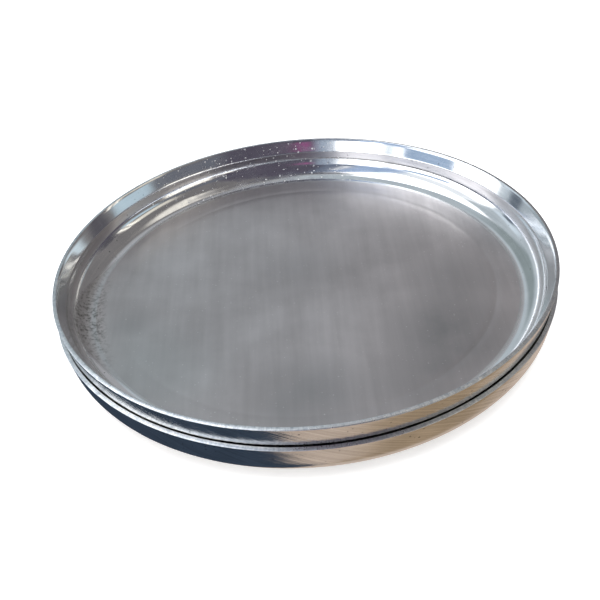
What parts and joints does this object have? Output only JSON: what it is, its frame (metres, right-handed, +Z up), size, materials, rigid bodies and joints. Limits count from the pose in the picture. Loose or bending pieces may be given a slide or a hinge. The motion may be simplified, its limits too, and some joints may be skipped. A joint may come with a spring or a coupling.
{
  "type": "nested round shallow pans",
  "caption": "Round shallow metal pans with flared thick-cut rims and flat satin bases, stacked one inside the other so that the upper lifts out.",
  "frame": {"origin": "on the surface the stack stands on, under the middle of the lower pan", "axes": "+Z up along the shared axis of both pans; X and Y lie in the plane of the rims"},
  "size_m": [0.2998, 0.2998, 0.0399],
  "materials": {
    "polished_metal": "polished walls with a satin base"
  },
  "bodies": {
    "lower_pan": {"lower_pan": "polished_metal"},
    "upper_pan": {"upper_pan": "polished_metal"}
  },
  "joints": [
    {"name": "upper_pan_lift", "type": "slide", "parent": "lower_pan", "child": "upper_pan", "axis": [0, 0, 1], "range_m": [0, 0.06]}
  ]
}
